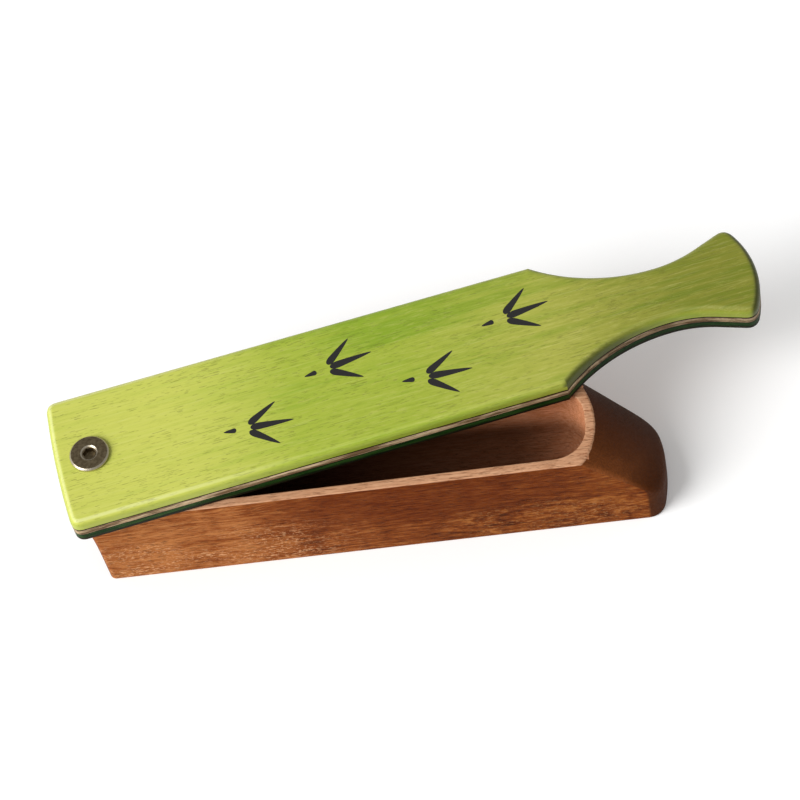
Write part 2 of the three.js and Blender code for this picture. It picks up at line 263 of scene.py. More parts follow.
def tidy(bm):
    """Merges the points of rings that have shrunk to a point, and turns every face outwards."""
    bmesh.ops.remove_doubles(bm, verts=bm.verts, dist=MERGE_DISTANCE)
    bmesh.ops.dissolve_degenerate(bm, dist=MERGE_DISTANCE, edges=bm.edges)
    bmesh.ops.recalc_face_normals(bm, faces=bm.faces)


def piece(name, bm, body, node, slot, material, matrix=None):
    """A finished piece that stands for a CAD node and rides on its body."""
    tidy(bm)
    mesh = bpy.data.meshes.new(name)
    bm.to_mesh(mesh)
    bm.free()
    if matrix:
        mesh.transform(matrix)
    mesh.shade_smooth()
    mesh.set_sharp_from_angle(angle=SHARP_ANGLE)
    mesh.materials.append(material)
    obj = bpy.data.objects.new(name, mesh)
    bpy.context.scene.collection.objects.link(obj)
    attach(obj, body)
    if node:
        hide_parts(node)
    return obj


def turned(profile):
    """A body turned about Z, from (radius, z) pairs; a radius may be a function of the angle."""
    angles = [FULL_TURN * i / TURN_STEPS for i in range(TURN_STEPS)]
    loops = []
    for radius, z in profile:
        radii = [radius(a) if callable(radius) else radius for a in angles]
        loops.append([Vector((r * math.cos(a), r * math.sin(a), z)) for r, a in zip(radii, angles)])
    return loops


def cut(obj, cutter_loops):
    """Takes the body through cutter_loops away from obj's mesh."""
    bm = solid(cutter_loops)
    tidy(bm)
    mesh = bpy.data.meshes.new("cutter")
    bm.to_mesh(mesh)
    bm.free()
    cutter = bpy.data.objects.new("cutter", mesh)
    bpy.context.scene.collection.objects.link(cutter)
    modifier = obj.modifiers.new("cut", "BOOLEAN")
    modifier.operation = "DIFFERENCE"
    modifier.solver = "EXACT"
    modifier.object = cutter
    evaluated = obj.evaluated_get(bpy.context.evaluated_depsgraph_get())
    result = bpy.data.meshes.new_from_object(evaluated)
    obj.modifiers.remove(modifier)
    obj.data = result
    bpy.data.objects.remove(cutter)
    result.shade_smooth()
    result.set_sharp_from_angle(angle=SHARP_ANGLE)


# ======== Materials ========


class Finish:
    """A material under construction: its methods add nodes and return their output socket."""

    def __init__(self, name, yaw=0.0):
        """The grain runs along X turned by yaw about Z; place is in millimetres along it."""
        self.material = bpy.data.materials.new(name)
        self.material.use_nodes = True
        self.tree = self.material.node_tree
        self.shader = self.tree.nodes["Principled BSDF"]
        coordinates = self.tree.nodes.new("ShaderNodeTexCoord")
        mapping = self.tree.nodes.new("ShaderNodeMapping")
        self.tree.links.new(coordinates.outputs["Object"], mapping.inputs["Vector"])
        mapping.inputs["Rotation"].default_value = (0, 0, -yaw)
        mapping.inputs["Scale"].default_value = (1 / MM, 1 / MM, 1 / MM)
        self.place = mapping.outputs["Vector"]
        self.normal = coordinates.outputs["Normal"]

    def put(self, socket, value):
        if isinstance(value, bpy.types.NodeSocket):
            self.tree.links.new(value, socket)
        else:
            socket.default_value = value

    def node(self, kind, inputs, **settings):
        """A new node with its settings, and its inputs by name or number."""
        node = self.tree.nodes.new("ShaderNode" + kind)
        for key, value in settings.items():
            setattr(node, key, value)
        for key, value in inputs.items():
            self.put(node.inputs[key], value)
        return node

    def vector(self, operation, a, b):
        return self.node("VectorMath", {0: a, 1: b}, operation=operation).outputs[0]

    def maths(self, operation, a, b=0.0, clamp=False):
        return self.node("Math", {0: a, 1: b}, operation=operation, use_clamp=clamp).outputs[0]

    def times(self, *factors):
        return reduce(partial(self.maths, "MULTIPLY"), factors)

    def plus(self, *terms):
        return reduce(partial(self.maths, "ADD"), terms)

    def minus(self, a, b):
        return self.maths("SUBTRACT", a, b)

    def most(self, a, b):
        return self.maths("MAXIMUM", a, b)

    def axis(self, vector, index):
        return self.node("SeparateXYZ", {0: vector}).outputs[index]

    def noise(self, vector, stretch, detail=4, roughness=0.55, distortion=0.0, colour=False):
        """Noise with so many waves per millimetre along X, Y and Z."""
        inputs = {
            "Vector": self.vector("MULTIPLY", vector, stretch),
            "Scale": 1.0,
            "Detail": detail,
            "Roughness": roughness,
            "Distortion": distortion,
        }
        return self.node("TexNoise", inputs).outputs["Color" if colour else "Fac"]

    def bands(self, value, waves, detail, roughness):
        """Noise along one value only: uneven bands, with so many waves per unit."""
        inputs = {"W": value, "Scale": waves, "Detail": detail, "Roughness": roughness}
        return self.node("TexNoise", inputs, noise_dimensions="1D").outputs["Fac"]

    def distance(self, vector, centre, weights):
        """The length of the way from centre, with a weight on each of its parts."""
        way = self.vector("MULTIPLY", self.vector("SUBTRACT", vector, centre), weights)
        return self.node("VectorMath", {0: way}, operation="LENGTH").outputs["Value"]

    def step(self, value, low, high, low_out=0.0, high_out=1.0):
        """A smooth step from low_out to high_out as value goes from low to high."""
        ends = {"From Min": low, "From Max": high, "To Min": low_out, "To Max": high_out}
        node = self.node("MapRange", {"Value": value, **ends}, interpolation_type="SMOOTHSTEP")
        return node.outputs["Result"]

    def ramp(self, value, stops):
        """Colours along a value, from (position, (red, green, blue)) pairs."""
        node = self.node("ValToRGB", {0: value})
        while len(node.color_ramp.elements) < len(stops):
            node.color_ramp.elements.new(0.5)
        for element, (position, colour) in zip(node.color_ramp.elements, stops):
            element.position = position
            element.color = (*colour, 1)
        return node.outputs["Color"]

    def mix(self, share, a, b, blend="MIX"):
        node = self.node("Mix", {"Factor": share}, data_type="RGBA", blend_type=blend)
        for key, value in (("A", a), ("B", b)):
            socket = next(s for s in node.inputs if s.name == key and s.type == "RGBA")
            self.put(socket, (*value, 1) if isinstance(value, tuple) else value)
        return next(s for s in node.outputs if s.type == "RGBA")

    def paint(self, under, mask, strength, colour):
        """The colour laid over what is under it where the mask says, at a strength."""
        return self.mix(self.times(mask, strength), under, colour)

    def centred(self, noise, width):
        """Noise spread evenly about zero, over a width."""
        return self.times(self.minus(noise, 0.5), width)

    def warped(self, amount, waves):
        """The place pushed about by slow noise, up to amount millimetres."""
        drift = self.noise(self.place, waves, detail=2, colour=True)
        centred = self.vector("SUBTRACT", drift, (0.5, 0.5, 0.5))
        return self.vector("ADD", self.place, self.vector("MULTIPLY", centred, amount))

    def done(self, colour, roughness, height, depth, **sockets):
        """The material, with a relief of the height, depth metres deep at most."""
        bump = self.node("Bump", {"Height": height, "Distance": depth})
        looks = {"Base Color": colour, "Roughness": roughness, "Normal": bump.outputs["Normal"]}
        for key, value in {**looks, **sockets}.items():
            self.put(self.shader.inputs[key.replace("_", " ")], value)
        return self.material


def linear(red, green, blue):
    """A colour given as it looks on a screen, from 0 to 255, as the shader's light values."""
    shares = [c / 255 for c in (red, green, blue)]
    return tuple(s / 12.92 if s <= 0.04045 else ((s + 0.055) / 1.055) ** 2.4 for s in shares)


def mahogany():
    finish = Finish("mahogany")
    x, y, z = (finish.axis(finish.place, index) for index in range(3))

    # Growth rings about a pith line below the box, wavy, with a swirl low down near the nose.
    place = finish.warped((6, 3, 3), (0.02, 0.06, 0.06))
    swirl = finish.distance(place, (150, 0, 9), (0.028, 0, 0.085))
    depth = finish.plus(
        finish.distance(place, (0, 6, -46), (0, 1, 1)),
        finish.step(swirl, 0.0, 1.0, 12.0, 0.0),
        finish.times(finish.noise(finish.place, (0.022, 0.07, 0.07), detail=3), 16.0),
        finish.times(finish.noise(finish.place, (0.16, 0.5, 0.5), detail=2), 1.1),
    )
    rings = finish.bands(depth, 0.34, 5, 0.80)

    # The fibres are short and fine, soft light bands cross them, and the tail end is paler.
    fibre = finish.noise(place, (0.15, 1.5, 1.5), detail=6, roughness=0.72)
    curl = finish.noise(finish.place, (0.075, 0.13, 0.17), detail=4, roughness=0.6, distortion=1.6)
    tone = finish.plus(
        finish.times(rings, 0.42),
        finish.times(fibre, 0.64),
        finish.times(finish.noise(place, (0.07, 0.02, 0.02), detail=3), 0.28),
        finish.times(finish.step(x, 120.0, 10.0), 0.09),
        finish.times(finish.minus(curl, 0.5), finish.step(swirl, 1.7, 0.7), 0.62),
    )
    stained = finish.ramp(
        tone,
        [
            (0.48, linear(70, 27, 8)),
            (0.60, linear(118, 56, 20)),
            (0.70, linear(152, 80, 32)),
            (0.84, linear(200, 128, 70)),
        ],
    )

    # The upper half of the sides is redder, darker and calmer from a third of the way along.
    cloud = finish.noise(finish.place, (0.016, 0.03, 0.05), detail=2)
    height = finish.plus(z, finish.centred(cloud, 30.0))
    dark = finish.times(
        finish.step(height, 9.0, 25.0),
        finish.step(x, 42.0, 82.0),
        finish.step(x, 172.0, 120.0, 0.45, 1.0),
    )
    calm = finish.mix(finish.step(fibre, 0.3, 0.7), linear(96, 36, 6), linear(134, 63, 14))
    stained = finish.paint(stained, dark, 0.82, calm)

    # Light flecks, where torn fibres catch the light, and dark open pores.
    fleck_field = finish.noise(place, (0.62, 1.5, 1.5), detail=2, roughness=0.65)
    fleck_zone = finish.noise(finish.place, (0.03, 0.09, 0.09), detail=2)
    ends = finish.maths("ADD", finish.step(x, 95.0, 55.0), finish.step(swirl, 1.3, 0.6), clamp=True)
    fleck = finish.times(
        finish.step(z, 32.0, 12.0),
        ends,
        finish.step(fleck_zone, 0.38, 0.58),
        finish.step(x, 70.0, 120.0, 1.0, 0.42),
        finish.step(fleck_field, 0.53, 0.62),
    )
    stained = finish.paint(stained, fleck, 0.7, linear(240, 180, 128))
    pore_field = finish.noise(place, (0.26, 3.0, 3.0), detail=2, roughness=0.6)
    pore = finish.step(pore_field, 0.59, 0.67)
    stained = finish.paint(stained, pore, 0.5, linear(56, 22, 8))
    # Everything is dimmed, more so and yellower towards the nose.
    tint_towards_nose = finish.mix(finish.step(x, 60.0, 135.0), (0.78, 0.78, 0.80), (0.67, 0.64, 0.50))
    stained = finish.mix(1.0, stained, tint_towards_nose, "MULTIPLY")

    # End grain drinks more stain than the sides. The nose end and its round corners, which face
    # away from the key light, also carry painted shade, darker towards +Y and lower down.
    facing = finish.axis(finish.normal, 0)
    end_grain_and_shade = finish.most(finish.step(facing, 0.05, 0.16), finish.step(facing, -0.6, -0.9))
    tubes = finish.noise(finish.place, (2.2, 2.2, 0.5), detail=3, roughness=0.7)
    blotch = finish.noise(finish.place, (0.06, 0.06, 0.06), detail=3)
    across = finish.plus(y, finish.centred(blotch, 14.0))
    # Painted shade across the nose: lighter at -Y, darker towards +Y and lower down, on top of the
    # stain.
    soaked_and_shaded = finish.ramp(
        finish.most(finish.step(across, -22.0, 20.0), finish.step(z, 30.0, 14.0, 0.0, 0.72)),
        [
            (0.0, linear(136, 76, 38)),
            (0.2, linear(106, 57, 26)),
            (0.6, linear(82, 40, 13)),
            (1.0, linear(58, 29, 6)),
        ],
    )
    soaked_and_shaded = finish.mix(finish.step(tubes, 0.35, 0.65, 0.35, 0.0), soaked_and_shaded, linear(40, 18, 6))
    stained = finish.paint(stained, end_grain_and_shade, 0.94, soaked_and_shaded)

    # The chamber was never stained. Painted shade darkens its floor and lower walls, less near the
    # nose end wall, and all of its pivot end under the lid.
    inner = finish.mix(finish.step(fibre, 0.35, 0.7), linear(188, 120, 78), linear(222, 158, 120))
    shade_low_down = finish.times(finish.step(z, 28.0, 15.0), finish.step(x, 170.0, 138.0, 0.45, 1.0))
    chamber_shade = finish.most(shade_low_down, finish.step(x, 138.0, 88.0))
    inner = finish.paint(inner, chamber_shade, 0.88, linear(54, 25, 11))
    spread_y = finish.plus(finish.maths("ABSOLUTE", y), finish.times(x, BOX_TAPER))
    wall = (BOX_HALF_WIDTH - WALL_AT_PIVOT) / MM
    inside = finish.times(
        finish.maths("LESS_THAN", spread_y, wall + 0.7),
        finish.maths("GREATER_THAN", x, CHAMBER_START_X / MM - 1),
        finish.maths("LESS_THAN", x, CHAMBER_END_X / MM + 0.4),
        finish.maths("GREATER_THAN", z, CHAMBER_FLOOR / MM - 1),
    )
    colour = finish.mix(inside, stained, inner)

    # The rim was sanded bare after staining. Its grain crosses the nose end as short dark streaks.
    bare = finish.mix(finish.step(fibre, 0.35, 0.7), linear(184, 132, 98), linear(212, 164, 128))
    streaks = finish.noise(finish.place, (0.22, 2.6, 1.0), detail=3, roughness=0.65)
    crossing = finish.times(finish.step(streaks, 0.54, 0.64), finish.step(x, 146.0, 160.0))
    marks = finish.most(finish.times(pore, 0.5), finish.times(crossing, 0.8))
    bare = finish.mix(marks, bare, linear(132, 78, 46))
    ragged = finish.noise(finish.place, (0.10, 0.5, 0.5), detail=3)
    edge_height = finish.plus(z, finish.centred(ragged, 0.5))
    rim_z = box_high.z / MM
    rim = finish.step(edge_height, rim_z - 0.55, rim_z - 0.25)
    colour = finish.mix(rim, colour, bare)

    grain = finish.plus(finish.minus(fibre, finish.times(pore, 0.8)), finish.times(fleck, 0.35))
    roughness = finish.plus(finish.step(fibre, 0.3, 0.7, 0.50, 0.38), finish.times(rim, 0.25))
    return finish.done(colour, roughness, grain, 0.00014, Specular_IOR_Level=0.02)


def lime_face():
    finish = Finish("lime_face", LID_YAW)
    place = finish.warped((0, 1.6, 1.6), (0.014, 0.05, 0.05))
    x, y = finish.axis(finish.place, 0), finish.axis(finish.place, 1)
    # Paler at the pivot end and darker olive towards the handle: partly the dye, partly painted
    # light falloff from the key light's side.
    base = finish.ramp(
        finish.step(x, 20.0, 225.0),
        [
            (0.0, linear(202, 206, 94)),
            (0.15, linear(167, 183, 63)),
            (0.40, linear(161, 177, 59)),
            (0.75, linear(171, 173, 74)),
            (1.0, linear(130, 131, 46)),
        ],
    )

    # Greener streaks where the dye pooled, strongest towards the +Y edge half way along.
    cloud = finish.noise(place, (0.018, 0.07, 0.07), detail=3)
    band = finish.noise(place, (0.010, 0.42, 0.42), detail=4, roughness=0.6)
    edge = finish.times(
        finish.step(x, 62.0, 100.0), finish.step(x, 190.0, 140.0), finish.step(y, 2.0, 22.0)
    )
    share = finish.plus(finish.times(cloud, 0.9), finish.times(band, 0.9), finish.times(edge, 0.22))
    dyed = finish.mix(1.0, base, linear(208, 232, 172), "MULTIPLY")
    pooled = finish.times(finish.step(share, 0.86, 1.22), finish.step(x, 10.0, 90.0, 0.25, 0.85))
    colour = finish.mix(pooled, base, dyed)

    fibre = finish.noise(place, (0.05, 2.0, 2.0), detail=5, roughness=0.7)
    colour = finish.paint(colour, finish.step(fibre, 0.50, 0.78), 0.26, linear(222, 222, 150))
    colour = finish.paint(colour, finish.step(fibre, 0.50, 0.24), 0.30, linear(132, 146, 52))

    # Short pale and green flames in the figure, strongest round the shoulder of the lid.
    flame = finish.noise(place, (0.14, 0.85, 0.85), detail=5, roughness=0.75)
    strength = finish.times(
        finish.step(x, 10.0, 130.0, 0.16, 0.32), finish.step(x, 175.0, 222.0, 1.0, 0.55)
    )
    colour = finish.paint(colour, finish.step(flame, 0.51, 0.68), strength, linear(200, 196, 112))
    colour = finish.paint(colour, finish.step(flame, 0.49, 0.32), strength, linear(104, 120, 34))

    # Fine dark dashes: the open pores of the face veneer.
    dash_field = finish.noise(place, (0.26, 3.3, 3.3), detail=1, roughness=0.5)
    dash_zone = finish.noise(place, (0.03, 0.12, 0.12), detail=2)
    limit = finish.step(dash_zone, 0.35, 0.65, 0.70, 0.61)
    dash = finish.step(finish.minus(dash_field, limit), 0.0, 0.05)
    colour = finish.paint(colour, dash, 0.42, linear(120, 118, 44))

    # The shoulder of the round edge carries a painted highlight, strongest at the pivot end that
    # faces the key light; its flank is greener and darker; and painted shade darkens the round end
    # of the handle, which faces away from the light.
    upward = finish.axis(finish.normal, 2)
    shoulder = finish.times(
        finish.step(upward, 0.998, 0.95),
        finish.step(upward, 0.70, 0.88),
        finish.step(x, 80.0, 0.0, 0.04, 0.42),
    )
    colour = finish.mix(shoulder, colour, linear(234, 236, 176))
    colour = finish.paint(colour, finish.step(upward, 0.80, 0.35), 0.5, linear(134, 150, 40))
    handle_shade = finish.step(finish.axis(finish.normal, 0), 0.12, 0.6)
    colour = finish.paint(colour, handle_shade, 0.85, linear(58, 62, 16))

    grain = finish.minus(finish.times(fibre, 0.6), dash)
    roughness = finish.step(fibre, 0.3, 0.7, 0.46, 0.36)
    gloss = {"Coat_Weight": 0.1, "Coat_Roughness": 0.25, "Specular_IOR_Level": 0.2}
    return finish.done(colour, roughness, grain, 0.00005, **gloss)


def veneer(name, dark, light, roughness=0.5, glued_from=None):
    """A ply that shows mostly at its edge: long fibres between a dark and a light colour, with dark
    glue above a height in millimetres if there is one."""
    finish = Finish(name, LID_YAW)
    place = finish.warped((0, 1.0, 0.6), (0.02, 0.1, 0.1))
    fibre = finish.noise(place, (0.05, 1.6, 2.4), detail=6, roughness=0.7)
    patch = finish.noise(place, (0.07, 0.3, 0.9), detail=4, roughness=0.65)
    share = finish.plus(fibre, finish.centred(patch, 1.7))
    colour = finish.mix(finish.step(share, 0.32, 0.68), dark, light)
    pore_field = finish.noise(place, (0.3, 3.0, 4.0), detail=2)
    pore = finish.step(pore_field, 0.60, 0.68)
    deep = tuple(0.45 * c for c in dark)
    colour = finish.paint(colour, pore, 0.6, deep)
    # Painted shade darkens the ply's edge towards the handle, under the neck.
    handle_shade = finish.step(finish.axis(finish.place, 0), 130.0, 195.0, 0.0, 0.55)
    colour = finish.mix(handle_shade, colour, deep)
    if glued_from:
        seam = finish.step(finish.axis(finish.place, 2), glued_from - 0.12, glued_from + 0.12)
        colour = finish.paint(colour, seam, 0.85, linear(20, 20, 14))
    grain = finish.minus(fibre, pore)
    gloss = finish.step(fibre, 0.3, 0.7, roughness + 0.06, roughness - 0.06)
    return finish.done(colour, gloss, grain, 0.00008, Specular_IOR_Level=0.05)


def shaded_chalked_ply():
    """The striking ply: its edge painted near black as shade, bare brown wood underneath and dusty
    with chalk there.
    """
    finish = Finish("brown_ply", LID_YAW)
    fibre = finish.noise(finish.place, (0.05, 1.6, 2.0), detail=6, roughness=0.7)
    # Painted shade: the edge's colour is near black.
    colour = finish.mix(finish.step(fibre, 0.32, 0.68), linear(16, 16, 9), linear(38, 36, 20))
    underside = finish.step(finish.axis(finish.normal, 2), -0.6, -0.95)
    bare = finish.mix(finish.step(fibre, 0.3, 0.7), linear(128, 92, 62), linear(172, 132, 96))
    colour = finish.mix(underside, colour, bare)
    dust = finish.noise(finish.place, (0.08, 0.5, 0.5), detail=5, roughness=0.7)
    dust = finish.times(finish.step(dust, 0.48, 0.72), underside)
    colour = finish.paint(colour, dust, 0.5, linear(225, 222, 212))
    pore = finish.step(finish.noise(finish.place, (0.25, 3.0, 3.0), detail=2), 0.6, 0.68)
    colour = finish.paint(colour, pore, 0.5, linear(50, 32, 18))
    grain = finish.minus(fibre, pore)
    roughness = finish.step(underside, 0.0, 1.0, 0.5, 0.75)
    return finish.done(colour, roughness, grain, 0.00008, Specular_IOR_Level=0.06)


def ink():
    finish = Finish("black_print", LID_YAW)
    speckle = finish.noise(finish.place, (1.5, 6, 6), detail=3)
    worn = finish.step(speckle, 0.62, 0.72)
    colour = finish.mix(finish.times(worn, 0.2), linear(24, 22, 22), linear(70, 74, 36))
    return finish.done(colour, finish.step(speckle, 0.3, 0.7, 0.5, 0.65), speckle, 0.00001)


TURNING_PITCH = 0.16  # of the fine turning marks, in millimetres
WORN_BLUR = 0.12  # half-width of the soft edges of worn metal, in millimetres


def metal(name, dark, light, roughness, worn=None, worn_rings=()):
    """Plated metal with fine turning marks about its axis, worn bright in rings of (low, high)
    radii in millimetres."""
    finish = Finish(name)
    radius = finish.distance(finish.place, (0, 0, 0), (1, 1, 0))
    patina = finish.noise(finish.place, (0.9, 0.9, 0.9), detail=5, roughness=0.65)
    colour = finish.mix(finish.step(patina, 0.35, 0.7), dark, light)
    turning = finish.maths("SINE", finish.times(radius, FULL_TURN / TURNING_PITCH))
    grime = finish.noise(finish.place, (3, 3, 3), detail=3)
    gloss = finish.step(grime, 0.3, 0.7, roughness - 0.08, roughness + 0.12)
    uneven = finish.plus(radius, finish.centred(grime, 0.35))
    for low, high in worn_rings:
        inwards = finish.step(uneven, low - WORN_BLUR, low + WORN_BLUR)
        outwards = finish.step(uneven, high + WORN_BLUR, high - WORN_BLUR)
        ring = finish.times(inwards, outwards)
        colour = finish.paint(colour, ring, 0.8, worn)
    relief = finish.plus(finish.times(turning, 0.3), finish.times(patina, 1.4))
    return finish.done(colour, gloss, relief, 0.00001, Metallic=1.0)


def paper_floor():
    finish = Finish("studio_floor")
    mottle = finish.noise(finish.place, (0.004, 0.004, 0.004), detail=2)
    colour = finish.mix(mottle, (0.90, 0.90, 0.895), (0.92, 0.92, 0.915))
    gloss = finish.step(mottle, 0.3, 0.7, 0.85, 0.95)
    glow = {"Emission_Color": (1.0, 1.0, 1.0, 1.0), "Emission_Strength": FLOOR_GLOW}
    return finish.done(colour, gloss, mottle, 0.0001, **glow)


# ======== Sound box ========


def half_width(x):
    return BOX_HALF_WIDTH - BOX_TAPER * x


def side_at(x):
    return Vector((x, half_width(x)))


def chamber_outline():
    end = Vector((CHAMBER_END_X - CHAMBER_CORNER, 0))
    end.y = half_width(end.x) - WALL_AT_NOSE - CHAMBER_CORNER
    start = Vector((CHAMBER_START_X + CHAMBER_START_CORNER, 0))
    start.y = half_width(start.x) - WALL_AT_PIVOT - CHAMBER_START_CORNER
    end_arc = arc(end, CHAMBER_CORNER, 0, RIGHT_ANGLE)
    start_arc = arc(start, CHAMBER_START_CORNER, RIGHT_ANGLE, math.pi)
    tips = Vector((CHAMBER_END_X, 0)), Vector((CHAMBER_START_X, 0))
    return mirrored([tips[0], *end_arc, *start_arc, tips[1]])


def box_outline():
    side = side_at(0)
    nose = Vector((NOSE_X, 0))
    tail = Vector((TAIL_X + TAIL_RADIUS, 0))
    nose_corner = line_meets_circle(side, -BOX_TAPER, nose.x, NOSE_RADIUS, 1)
    rim_corner = line_meets_circle(side, -BOX_TAPER, nose.x, RIM_RADIUS, 1)
    tail_corner = line_meets_circle(side, -BOX_TAPER, tail.x, TAIL_RADIUS, -1)
    nose_angle = math.asin(nose_corner.y / NOSE_RADIUS) - NOSE_CORNER / NOSE_RADIUS
    tail_angle = math.asin(tail_corner.y / TAIL_RADIUS) - TAIL_CORNER / TAIL_RADIUS
    nose_arc = arc(nose, NOSE_RADIUS, 0, nose_angle)
    tail_arc = arc(tail, TAIL_RADIUS, math.pi - tail_angle, math.pi)
    nose_ease = eased_corner(nose_arc[-1], nose_corner, side, NOSE_CORNER)
    tail_ease = eased_corner(side, tail_corner, tail_arc[0], TAIL_CORNER)
    pole_x = CHAMBER_START_X + CHAMBER_START_CORNER
    marks = [nose_ease[-1], rim_corner, side_at(NOSE_X), side_at(pole_x), tail_ease[0]]
    outline = nose_arc[:-1] + nose_ease[:-1]
    for start, end in zip(marks, marks[1:]):
        outline += straight(start, end)[:-1]
    return mirrored(outline + tail_ease[:-1] + tail_arc)


def ray_hit(origin, direction, line):
    """Where a ray meets a closed line of points."""
    for a, b in zip(line, [*line[1:], line[0]]):
        span = b - a
        cross = direction.cross(span)
        if abs(cross) > NEARLY_PARALLEL:
            along = (a - origin).cross(direction) / cross
            reach = (a - origin).cross(span) / cross
            if -SLACK <= along <= 1 + SLACK and reach > 0:
                return a + span * along
    raise ValueError("the ray misses the chamber")


def chamber_point(outer, chamber):
    """The chamber's wall straight inside an outer point: square across, fanned round the ends."""
    pole_x = min(max(outer.x, CHAMBER_START_X + CHAMBER_START_CORNER), NOSE_X)
    origin = Vector((pole_x, 0))
    return ray_hit(origin, (outer - origin).normalized(), chamber)


def smoothed(line, samples, reach):
    """Points at distances along a line of points, each the mean of its surroundings."""
    lengths = [0.0]
    for a, b in zip(line, line[1:]):
        lengths.append(lengths[-1] + (b - a).length)

    def at(distance):
        if distance <= 0:
            return line[0] + (line[1] - line[0]).normalized() * distance
        for i in range(len(line) - 1):
            if distance <= lengths[i + 1] and lengths[i + 1] > lengths[i]:
                share = (distance - lengths[i]) / (lengths[i + 1] - lengths[i])
                return line[i].lerp(line[i + 1], share)
        return line[-1] + (line[-1] - line[-2]).normalized() * (distance - lengths[-1])

    def mean(distance):
        places = (at(distance + reach * share) for share in SMOOTHING_SHARES)
        return sum(places, Vector((0, 0, 0))) / len(SMOOTHING_SHARES)

    return [mean(distance) for distance in samples]


def spread(start, end, count):
    """Places between start and end, without either."""
    return [start + (end - start) * (i + 1) / (count + 1) for i in range(count)]


def ramp_at(outer):
    """How deep below the rim the ramp's cone meets the wall over an outer point, and the rim's
    point straight up the cone from there. The cone leans, so its centre drifts with the depth."""
    nose = Vector((NOSE_X, 0))
    if outer.x <= NOSE_X or (outer - nose).length <= RIM_RADIUS:
        return 0.0, outer
    low, high = 0.0, box_high.z
    for _ in range(HALVINGS):
        depth = (low + high) / 2
        reach = (outer - nose + Vector((0, RAMP_LEAN * depth))).length
        if reach > RIM_RADIUS + depth / RAMP_SLOPE:
            low = depth
        else:
            high = depth
    from_centre = outer - nose + Vector((0, RAMP_LEAN * depth))
    return depth, nose + from_centre.normalized() * RIM_RADIUS


def wall_section(outer, chamber):
    """The box's wall at one station: up the outside, up the ramp if there is one, over the rim
    and down the chamber's side to the top of the floor fillet."""
    top = box_high.z
    depth, rim = ramp_at(outer)
    inner = chamber_point(rim, chamber)
    foot = at_height(outer, BASE_ROUND)
    ridge = at_height(outer, top - depth)
    edge = at_height(rim, top)
    lip = at_height(inner, top)
    deep = at_height(inner, CHAMBER_FLOOR + FLOOR_FILLET)
    ramp_length = (edge - ridge).length
    ease = min(RIDGE_EASE, LONGEST_EASE * ramp_length)
    up_ramp = (edge - ridge).normalized() if ramp_length > NO_LENGTH else -UP
    soft_ridge = bezier(ridge - UP * ease, ridge, ridge + up_ramp * ease, ROUND_STEPS)
    line = [foot, *soft_ridge, edge, lip, deep]
    ridge_start = (soft_ridge[0] - foot).length
    ridge_end = ridge_start + sum((b - a).length for a, b in zip(soft_ridge, soft_ridge[1:]))
    edge_at = ridge_end + (edge - soft_ridge[-1]).length
    lip_at = edge_at + (lip - edge).length
    end_at = lip_at + (deep - lip).length
    ridge_length = ridge_end - ridge_start
    samples = spread(0, ridge_start - EDGE_EASE, OUTSIDE_RINGS)
    samples += [ridge_start + ridge_length * i / ROUND_STEPS for i in range(ROUND_STEPS + 1)]
    samples += spread(ridge_end + EDGE_EASE, max(edge_at - EDGE_EASE, ridge_end), RAMP_RINGS)
    samples += [edge_at + EDGE_EASE * share for share in BEND_SHARES]
    samples += spread(edge_at + EDGE_EASE, lip_at - EDGE_EASE, RIM_RINGS)
    samples += [lip_at + EDGE_EASE * share for share in BEND_SHARES]
    samples += spread(lip_at + EDGE_EASE, end_at, INSIDE_RINGS)
    return smoothed(line, sorted(samples), EDGE_EASE)


def flare_tail(bm):
    """The tail end stands out towards its top edge."""
    for vert in bm.verts:
        share = min(1, max(0, vert.co.x / TAIL_X))
        rise = max(0, vert.co.z - TAIL_FLARE_START) / (box_high.z - TAIL_FLARE_START)
        vert.co.x -= TAIL_FLARE * share * rise**1.5


def sound_box():
    outline = box_outline()
    chamber = chamber_outline()
    sections = [wall_section(point, chamber) for point in outline]
    inner = [section[-1].to_2d() for section in sections]
    loops = [lifted(inset(outline, away), z) for away, z in rounded_edge(BASE_ROUND, 0, 1)]
    loops += [list(ring) for ring in zip(*sections)]
    fillet = rounded_edge(FLOOR_FILLET, CHAMBER_FLOOR, 1, FILLET_STEPS)
    loops += [lifted(inset(inner, away), z) for away, z in reversed(fillet)]
    bm = solid(loops)
    flare_tail(bm)
    box = piece("sound_box_shell", bm, "box", "sound_box", "mahogany", mahogany())
    seat_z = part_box("spring_seat")[0].z
    insert_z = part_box("threaded_insert")[0].z - FIT_GAP
    hole_radius = INSERT_RADIUS + FIT_GAP
    above = box_high.z + 1 * MM
    profile = [
        (0, insert_z),
        (hole_radius, insert_z),
        (hole_radius, seat_z),
        (SPRING_BORE_RADIUS, seat_z),
        (SPRING_BORE_RADIUS, above),
        (0, above),
    ]
    cut(box, turned(profile))


# ======== Lid ========


